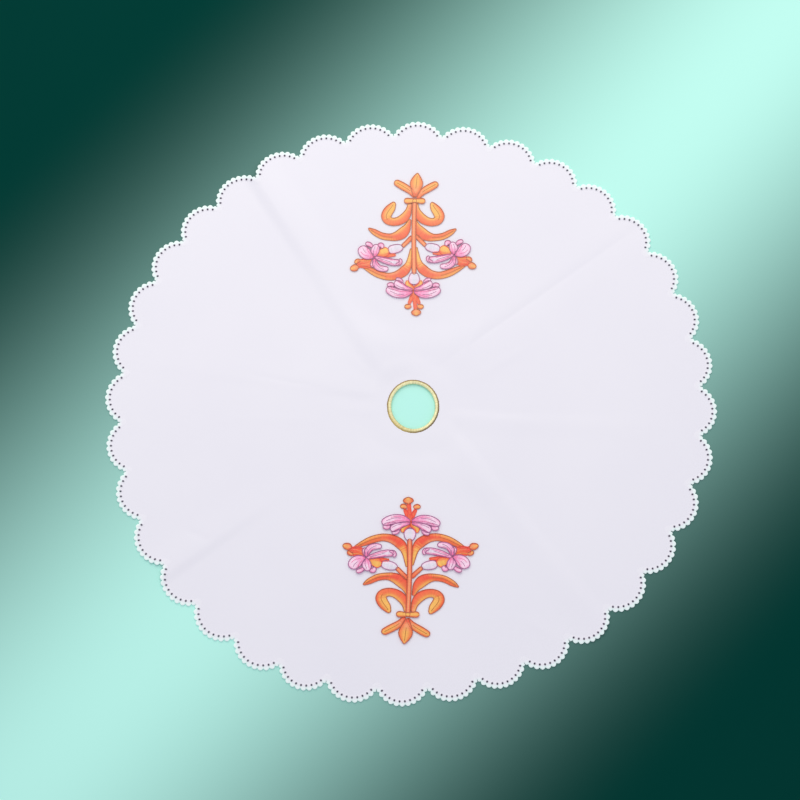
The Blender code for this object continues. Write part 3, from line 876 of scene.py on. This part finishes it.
def build_cloth():
    """The round white cloth, down to under its edging and its binding."""
    rim = inset_line(EDGING_WIDTH - EDGING_OVERLAP, EDGING_RIM_STEPS)
    hole = oval(CLOTH_HOLE, HOLE_STEPS)
    kept = []
    for point in clear_of(fold_points(), tree_of(rim + hole), CLOTH_PITCH / 2):
        if all((point - other).length > FOLD_GAP for other in kept[-12:]):
            kept.append(point)
    verts, faces, _ = flat_sheet([rim, hole], kept, CLOTH_PITCH, CLOTH_PITCH * CLOTH_GAP)
    tops = [height(v.x, v.y) + CLOTH_TOP for v in verts]
    points, faces, _ = thick_sheet(verts, faces, tops, CLOTH_THICK)
    return make_piece("cloth", "veil_cloth", "white_cloth", points, faces, cloth_material())


def pinhole_share(step, out):
    """How far a step goes from the middle of a pinhole, as a share of the pinhole's size."""
    side = Vector((-out.y, out.x))
    return hypot(step.dot(side) / PINHOLE_ACROSS, step.dot(out) / PINHOLE_ALONG)


def build_edging():
    """The worked edging with its pinholes and loops."""
    outer = picot_line()
    inner = inset_line(EDGING_WIDTH, EDGING_RIM_STEPS)
    places = pinhole_places()
    loops = [outer, inner]
    rolls = []
    for middle, out in places:
        side = Vector((-out.y, out.x))
        loop = []
        for i in range(PINHOLE_STEPS):
            turn = tau * i / PINHOLE_STEPS
            step = side * PINHOLE_ACROSS * cos(turn) + out * PINHOLE_ALONG * sin(turn)
            loop.append(middle + step)
            rolls.append(middle + step * (ROLL_RADIUS / PINHOLE_ACROSS))
        loops.append(loop)
    rolls = clear_of(rolls, tree_of([p for loop in loops for p in loop]), ROLL_GAP)
    holes = tree_of([middle for middle, _ in places])
    verts, faces, middles = flat_sheet(loops, rolls, EDGING_PITCH, EDGING_PITCH / 2)
    kept = []
    for face, middle in zip(faces, middles):
        place, out = places[holes.find((middle.x, middle.y, 0))[1]]
        if pinhole_share(middle - place, out) > IN_HOLE:
            kept.append(face)
    edge = tree_of(outer)
    inside_edge = tree_of(inner)
    notches = tree_of(notch_places())
    tops, colours, walls, grain, feet = [], [], [], [], []
    for v in verts:
        _, index, away = holes.find((v.x, v.y, 0))
        middle, out = places[index]
        step = v - middle
        on_hole = pinhole_share(step, out) < ON_HOLE
        feet.append(middle + step * HOLE_TAPER if on_hole else v)
        grain.append((step.dot(out) / MM, step.dot(Vector((-out.y, out.x))) / MM))
        out_edge = edge.find((v.x, v.y, 0))[2]
        in_edge = inside_edge.find((v.x, v.y, 0))[2]
        roll = ROLL_HEIGHT * exp(-(((away - ROLL_RADIUS) / ROLL_WIDTH) ** 2))
        loop_edge = EDGE_DROP * (1 - blend(out_edge / EDGE_ROUND))
        hem = 1 - blend(in_edge / EDGING_FADE)
        lift = EDGING_RISE + roll - loop_edge - HEM_DROP * EDGING_RISE * hem
        tops.append(height(v.x, v.y) + CLOTH_TOP + lift)
        mint = 1 - blend((out_edge - MINT_START) / MINT_WIDTH)
        mint *= blend(notches.find((v.x, v.y, 0))[2] / NOTCH_FADE)
        tone = np.array(WHITE) * (1 - mint) + np.array(MINT_WHITE) * mint
        tone = tone * (1 - hem) + np.array(CLOTH_TONE) * hem
        # Painted shade: the pinholes' rims and walls get dark colours
        colours.append(np.array(PAINTED_HOLE_RIM_SHADE) if on_hole else tone)
        walls.append(np.array(PAINTED_HOLE_SHADE) if on_hole else tone)
    points, faces, used = thick_sheet(verts, kept, tops, EDGING_THICK, feet)
    colours = [(colours + walls)[i] for i in used]
    grain = [(grain + grain)[i] for i in used]
    look = thread_material("white thread", 0.7, sheen=0.2)
    return make_piece("edging", "picot_edging", "white_thread", points, faces, look, colours, grain)


def ring_section(width):
    """The binding's section, once round it: out from the hole's edge in m, up in m."""
    section = []
    for i in range(RING_SIDES):
        turn = tau * i / RING_SIDES
        aside, up = toward(turn)
        x = width / 2 * (1 + copysign(abs(aside) ** RING_POWER, aside))
        z = RING_HEIGHT / 2 * (1 + copysign(abs(up) ** RING_POWER, up))
        z = z * (1 - RING_SLOPE * (x / width) ** 2) + RING_LEAN * blend(x / width)
        section.append((x, z))
    return section


def build_ring():
    """The gold binding: short stitches over the cloth's edge, all round the hole."""
    chance = random.Random(SEED)
    points, colours, grain, faces = [], [], [], []
    stations = RING_STITCHES * STITCH_STEPS
    tones, reaches = [], []
    for _ in range(RING_STITCHES):
        tones.append(chance.uniform(*STITCH_TONES))
        reaches.append(chance.uniform(*STITCH_REACHES) * MM)
    for i in range(stations):
        stitch = i // STITCH_STEPS
        share = (i % STITCH_STEPS) / STITCH_STEPS
        turn = tau * i / stations
        ridge = sin(pi * share)
        wide = max(cos(turn - WIDE_SIDE), 0.0) ** 3
        inner = RING_OUTER - RING_WIDTH - WIDE_MORE * wide
        width = RING_OUTER - inner + reaches[stitch]
        dark = max(cos(turn - DARK_SIDE), 0.0) ** 2
        for x, z in ring_section(width):
            bulge = STITCH_SWELL * (ridge - 0.5)
            away = inner + x + bulge * copysign(1, x - width / 2)
            up = max(z + 2 * bulge * (z / RING_HEIGHT - 0.5), RING_BOTTOM)
            back = away + inner * (HOLE_STRETCH - 1)
            points.append((HOLE_X + away * cos(turn), HOLE_Y + back * sin(turn), up))
            place = x / width
            pale = (1 - blend((place - PALE_SHARE) / PALE_FADE)) * (1 - WIDE_DULL * wide)
            olive = LINEAR["mid gold"] * wide + LINEAR["old gold"] * (1 - wide)
            base = olive * (1 - pale) + LINEAR["pale gold"] * pale
            # Painted shade: each stitch is coloured darker towards the grooves beside it
            shade = tones[stitch] * (1 - PAINTED_GROOVE_SHADE * (1 - ridge))
            colours.append(base * shade * (1 - DARK_MORE * dark * (1 - pale)))
            grain.append((x / MM, i * 0.5 / STITCH_STEPS))
    for i in range(stations):
        here, after = i * RING_SIDES, (i + 1) % stations * RING_SIDES
        for k in range(RING_SIDES):
            step = (k + 1) % RING_SIDES
            faces.append((here + step, after + step, after + k, here + k))
    look = thread_material("gold thread", 0.42, metallic=0.35)
    return make_piece("binding", "gold_ring", "gold_thread", points, faces, look, colours, grain)


class Stitching:
    """Collects the lofted stitches of one spray: points, faces, colours and grain."""

    def __init__(self, spray):
        self.spray = spray
        self.points, self.faces, self.colours, self.grain = [], [], [], []

    def place(self, across, along, rise):
        """A point of the drawing in mm as a place in metres, rise above the cloth."""
        _, direction, distance, wide, tall = self.spray
        turn = radians(direction)
        out = (distance - along * tall) * MM
        side = across * wide * MM
        x = HOLE_X + out * cos(turn) + side * sin(turn)
        y = HOLE_Y + out * sin(turn) - side * cos(turn)
        return (x, y, height(x, y) + CLOTH_TOP + rise)

    def fade(self, colour):
        """A thread's colour, faded as this spray's warm threads are."""
        share, tone = FADED[self.spray[0]]
        share *= max(1 - FADE_BLUE * colour[2], 0.0)
        return colour * (1 - share) + np.array(tone) * share

    def loft(self, sections, colours, grain):
        """Joins closed sections one after the other and caps both ends."""
        start, sides = len(self.points), len(sections[0])
        for section, tones, threads in zip(sections, colours, grain):
            self.points += section
            self.colours += tones
            self.grain += threads
        for i in range(len(sections) - 1):
            for k in range(sides):
                a, b = start + i * sides + k, start + i * sides + (k + 1) % sides
                self.faces.append((a, b, b + sides, a + sides))
        self.faces.append(tuple(range(start + sides - 1, start - 1, -1)))
        last = start + (len(sections) - 1) * sides
        self.faces.append(tuple(range(last, last + sides)))


def smooth_route(values, steps):
    """Values of a smooth curve through the given ones, as tuples of numbers."""
    found = []
    for i in range(len(values) - 1):
        a = values[max(i - 1, 0)]
        b, c = values[i], values[i + 1]
        d = values[min(i + 2, len(values) - 1)]
        for k in range(steps):
            t = k / steps
            found.append(
                tuple(
                    q + t * (r - p) / 2
                    + t * t * (p - 2.5 * q + 2 * r - s / 2)
                    + t**3 * (1.5 * (q - r) + (s - p) / 2)
                    for p, q, r, s in zip(a, b, c, d)
                )
            )
    return found + [tuple(float(v) for v in values[-1])]


def even_stations(values, step):
    """The same curve with its points a step apart; the first two values are x and y in mm."""
    table = np.array(values)
    lengths = np.hypot(np.diff(table[:, 0]), np.diff(table[:, 1]))
    along = np.concatenate(([0.0], np.cumsum(lengths)))
    count = max(int(round(along[-1] / step)), 4)
    places = np.linspace(0, along[-1], count + 1)
    columns = [np.interp(places, along, table[:, i]) for i in range(table.shape[1])]
    return np.array(columns).T, places


def shape_edges(route, widths, step):
    """Even stations along a shape: middle points, side directions, half widths and places."""
    stations = smooth_route([(*p, w) for p, w in zip(route, widths)], ROUTE_STEPS)
    table, places = even_stations(stations, step)
    middles, half = table[:, :2], table[:, 2] / 2
    ahead = np.gradient(middles, axis=0)
    ahead /= np.linalg.norm(ahead, axis=1)[:, None]
    sides = np.stack((-ahead[:, 1], ahead[:, 0]), axis=1)
    total = places[-1]
    for end_half, away in ((half[0], places), (half[-1], total - places)):
        reach = max(end_half, 0.4)
        share = np.clip(away / reach, 0, 1)
        half = half * np.sqrt(np.clip(1 - (1 - share) ** 2, 0, 1))
    return middles, sides, np.maximum(half, THINNEST / MM / 2), places


def shade_at(shade, share, across):
    """The colour at a share of a shape's length, across from -1 at its left to 1."""
    left, middle, right = between(STATIONS[shade], share)
    side = left if across < 0 else right
    return middle + (side - middle) * blend(abs(across))


def stitch_shape(stitching, shape, where, chance):
    """One satin-stitched shape with its outline and its vein, where is (flip, aside, lift)."""
    layer, shade, vein, route, widths = shape
    outline = OUTLINE_OF[shade]
    pitch = STITCH_PITCH / MM
    middles, sides, half, places = shape_edges(route, widths, pitch / 2)
    flip, aside, lift = where
    bed = STITCH_BED + layer * LAYER_RISE
    sections, colours, grain = [], [], []
    tone, jitter = 1.0, 0.0
    for i, (middle, side, reach, place) in enumerate(zip(middles, sides, half, places)):
        if i % 2 == 0:
            tone = 1 + chance.uniform(-1.4, 1.0) * STITCH_UNEVEN
            jitter = chance.uniform(-1, 1) * STITCH_UNEVEN
        ridge = 1 if i % 2 else -1
        section, tones, threads = [], [], []
        crown = STITCH_CROWN * min(reach / CROWN_HALF, 1)
        for k in range(STITCH_COLUMNS):
            across = 1 - 2 * k / (STITCH_COLUMNS - 1)
            x, y = middle + side * reach * across
            dome = sqrt(max(1 - across * across, 0.0))
            rise = bed + crown * dome + ridge * STITCH_RIB * dome
            section.append(stitching.place(aside + flip * x, y + lift, rise))
            share = min(max(place / places[-1] + jitter, 0.0), 1.0)
            # Painted shade: every other station, between two stitches, is coloured darker
            seen = shade_at(shade, share, -across) * tone * (1.0 if ridge > 0 else PAINTED_VALLEY_SHADE)
            tones.append(stitching.fade(seen))
            threads.append((reach * across, place))
        for across in (-1, 1):
            x, y = middle + side * reach * across
            section.append(stitching.place(aside + flip * x, y + lift, STITCH_FOOT))
            tones.append(tones[0 if across > 0 else STITCH_COLUMNS - 1])
            threads.append((reach * across, place))
        if flip < 0:
            section, tones, threads = section[::-1], tones[::-1], threads[::-1]
        sections.append(section)
        colours.append(tones)
        grain.append(threads)
    stitching.loft(sections, colours, grain)
    left = middles + sides * half[:, None]
    right = middles - sides * half[:, None]
    around = np.concatenate((left, right[::-1]))
    lay_cord(stitching, around, where, bed + CORD_RISE, CORD_RADIUS, outline, chance)
    if vein:
        start, end = (int(share * len(middles)) for share in vein)
        rise = bed + VEIN_RISE
        colour = VEINS[outline]
        lay_cord(stitching, middles[start:end], where, rise, VEIN_RADIUS, colour, chance)


def lay_cord(stitching, path, where, rise, radius, colour, chance):
    """A thin cord of small stitches along a path of drawing points."""
    flip, aside, lift = where
    table, places = even_stations(path, CORD_STEP / MM)
    ahead = np.gradient(table, axis=0)
    ahead /= np.maximum(np.linalg.norm(ahead, axis=1), 1e-9)[:, None]
    sections, colours, grain = [], [], []
    last = len(table) - 1
    for i, ((x, y), (dx, dy)) in enumerate(zip(table, ahead)):
        taper = CORD_TAPER if i in (0, last) else 1.0
        reach = radius * taper * (1.0 if i % 3 else CORD_WAIST)
        tone = chance.uniform(*CORD_TONES)
        section = []
        for k in range(CORD_SIDES):
            turn = tau * k / CORD_SIDES
            out = cos(turn) * reach / MM
            up = rise + sin(turn) * reach
            place = (aside + flip * (x - dy * out), y + dx * out + lift)
            section.append(stitching.place(*place, up))
        if flip < 0:
            section.reverse()
        sections.append(section)
        colours.append([stitching.fade(LINEAR[colour] * tone)] * CORD_SIDES)
        grain.append([(k * 0.3, places[i]) for k in range(CORD_SIDES)])
    stitching.loft(sections, colours, grain)


def build_spray(spray, material):
    """One embroidered spray."""
    chance = random.Random(SEED)
    stitching = Stitching(spray)
    for shape in SHAPES_ALONE:
        stitch_shape(stitching, shape, (1, 0, 0), chance)
    for aside, lift, *shape in SHAPES_IN_PAIRS:
        stitch_shape(stitching, shape, (1, aside, 0), chance)
        stitch_shape(stitching, shape, (-1, aside, lift), chance)
    for aside, lift, layer, colour, path in STREAKS:
        rise = STITCH_BED + layer * LAYER_RISE + STITCH_CROWN
        points = [point[:2] for point in smooth_route(path, STREAK_STEPS)]
        for where in ((1, aside, 0), (-1, aside, lift)):
            lay_cord(stitching, points, where, rise, STREAK_RADIUS, colour, chance)
    node, points, faces = spray[0], stitching.points, stitching.faces
    seen = (material, stitching.colours, stitching.grain)
    name = node.replace("spray", "embroidery")
    return make_piece(name, node, "embroidery", points, faces, *seen, sharp=60)


# The floor, the light and the camera

def floor_material():
    """A floor that is pale mint in a slanting band and dark green on both sides of it."""
    material, tree, shader = new_material("floor", 0.9)
    shader.inputs["Specular IOR Level"].default_value = 0.0
    place = add_node(tree, "TexCoord").outputs["Object"]
    slant = add_node(tree, "VectorMath", {1: FLOOR_SLANT}, operation="DOT_PRODUCT")
    join_nodes(tree, (place, slant.inputs[0]))
    sides = []
    for reach in FLOOR_REACH:
        ends = {"From Min": reach, "From Max": 0.0}
        side = add_node(tree, "MapRange", ends, interpolation_type="SMOOTHSTEP")
        join_nodes(tree, (slant.outputs["Value"], side.inputs["Value"]))
        sides.append(side.outputs["Result"])
    least = add_node(tree, "Math", operation="MINIMUM")
    share = add_node(tree, "Math", {1: FLOOR_CURVE}, operation="POWER")
    mix = add_node(tree, "Mix", data_type="RGBA")
    mix.inputs[MIX_FIRST].default_value = FLOOR_DARK
    mix.inputs[MIX_SECOND].default_value = FLOOR_PALE
    join_nodes(
        tree,
        (sides[0], least.inputs[0]),
        (sides[1], least.inputs[1]),
        (least.outputs[0], share.inputs[0]),
        (share.outputs[0], mix.inputs[0]),
        (mix.outputs[MIX_RESULT], shader.inputs["Base Color"]),
    )
    return material


def build_floor():
    """The floor under the veil."""
    mesh = bpy.data.meshes.new("floor")
    signs = ((-1, -1), (1, -1), (1, 1), (-1, 1))
    corners = [(x * FLOOR_HALF, y * FLOOR_HALF, 0) for x, y in signs]
    mesh.from_pydata(corners, [], [(0, 1, 2, 3)])
    mesh.materials.append(floor_material())
    floor = new_object("floor", mesh)
    floor.location.z = -FLOOR_DROP


def light_scene():
    """An even sky, and one square soft light that looks at the veil."""
    world = bpy.data.worlds.new("studio")
    world.use_nodes = True
    background = world.node_tree.nodes["Background"]
    background.inputs["Color"].default_value = SKY_COLOUR
    background.inputs["Strength"].default_value = SKY_STRENGTH
    bpy.context.scene.world = world
    data = bpy.data.lights.new("key", "AREA")
    data.size = KEY_SIZE
    data.energy = KEY_POWER
    data.color = KEY_COLOUR
    light = new_object("key", data)
    tilt = radians(KEY_ELEVATION)
    along = toward(radians(KEY_AZIMUTH)) * cos(tilt)
    away = Vector((along.x, along.y, sin(tilt)))
    light.location = away * KEY_DISTANCE
    light.rotation_euler = away.to_track_quat("Z", "Y").to_euler()


def add_camera():
    """The photo's camera: from above the front, tilted down at the veil."""
    data = bpy.data.cameras.new("camera")
    data.lens = CAMERA_LENS
    data.sensor_width = SENSOR
    data.sensor_fit = "HORIZONTAL"
    camera = new_object("camera", data)
    tilt = radians(CAMERA_ELEVATION)
    back = Vector((0, -cos(tilt), sin(tilt)))
    camera.location = Vector(CAMERA_TARGET) + back * CAMERA_DISTANCE
    camera.rotation_euler = back.to_track_quat("Z", "Y").to_euler()
    bpy.context.scene.camera = camera


def main():
    """Builds the stage and every piece of the veil."""
    bpy.context.scene.view_settings.view_transform = "Standard"
    add_camera()
    light_scene()
    build_floor()
    cloth = build_cloth()
    edging = build_edging()
    ring = build_ring()
    silk = thread_material("embroidery thread", 0.5, sheen=0.25)
    sprays = [build_spray(spray, silk) for spray in SPRAYS]


main()
